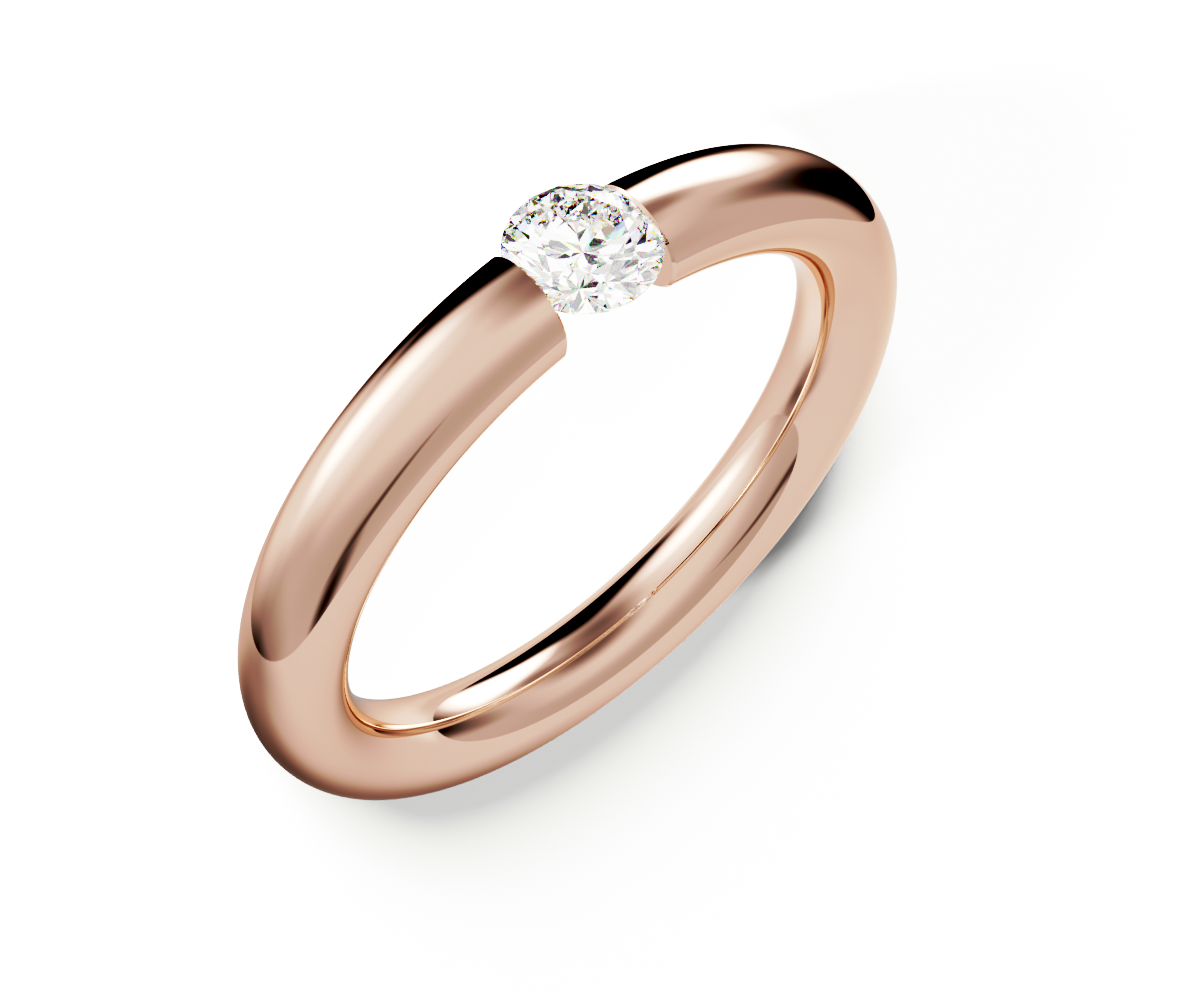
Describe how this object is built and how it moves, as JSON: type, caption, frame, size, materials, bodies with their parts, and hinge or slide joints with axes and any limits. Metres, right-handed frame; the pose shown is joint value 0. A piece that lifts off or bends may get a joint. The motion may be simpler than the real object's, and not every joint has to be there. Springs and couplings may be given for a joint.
{
  "type": "tension set ring",
  "caption": "Open finger ring of nearly round polished wire whose two ends grip a round brilliant-cut stone by its girdle.",
  "frame": {"origin": "centre of the finger hole, at half the band's width", "axes": "+Z along the finger's axis, +X across the gap between the band ends, the stone at -Y with its table facing -Y"},
  "size_m": [0.0224, 0.0225, 0.004],
  "materials": {
    "rose_gold": "mirror-polished rose gold",
    "diamond": "faceted and polished"
  },
  "bodies": {
    "root": {"band": "rose_gold", "stone": "diamond"}
  },
  "joints": []
}
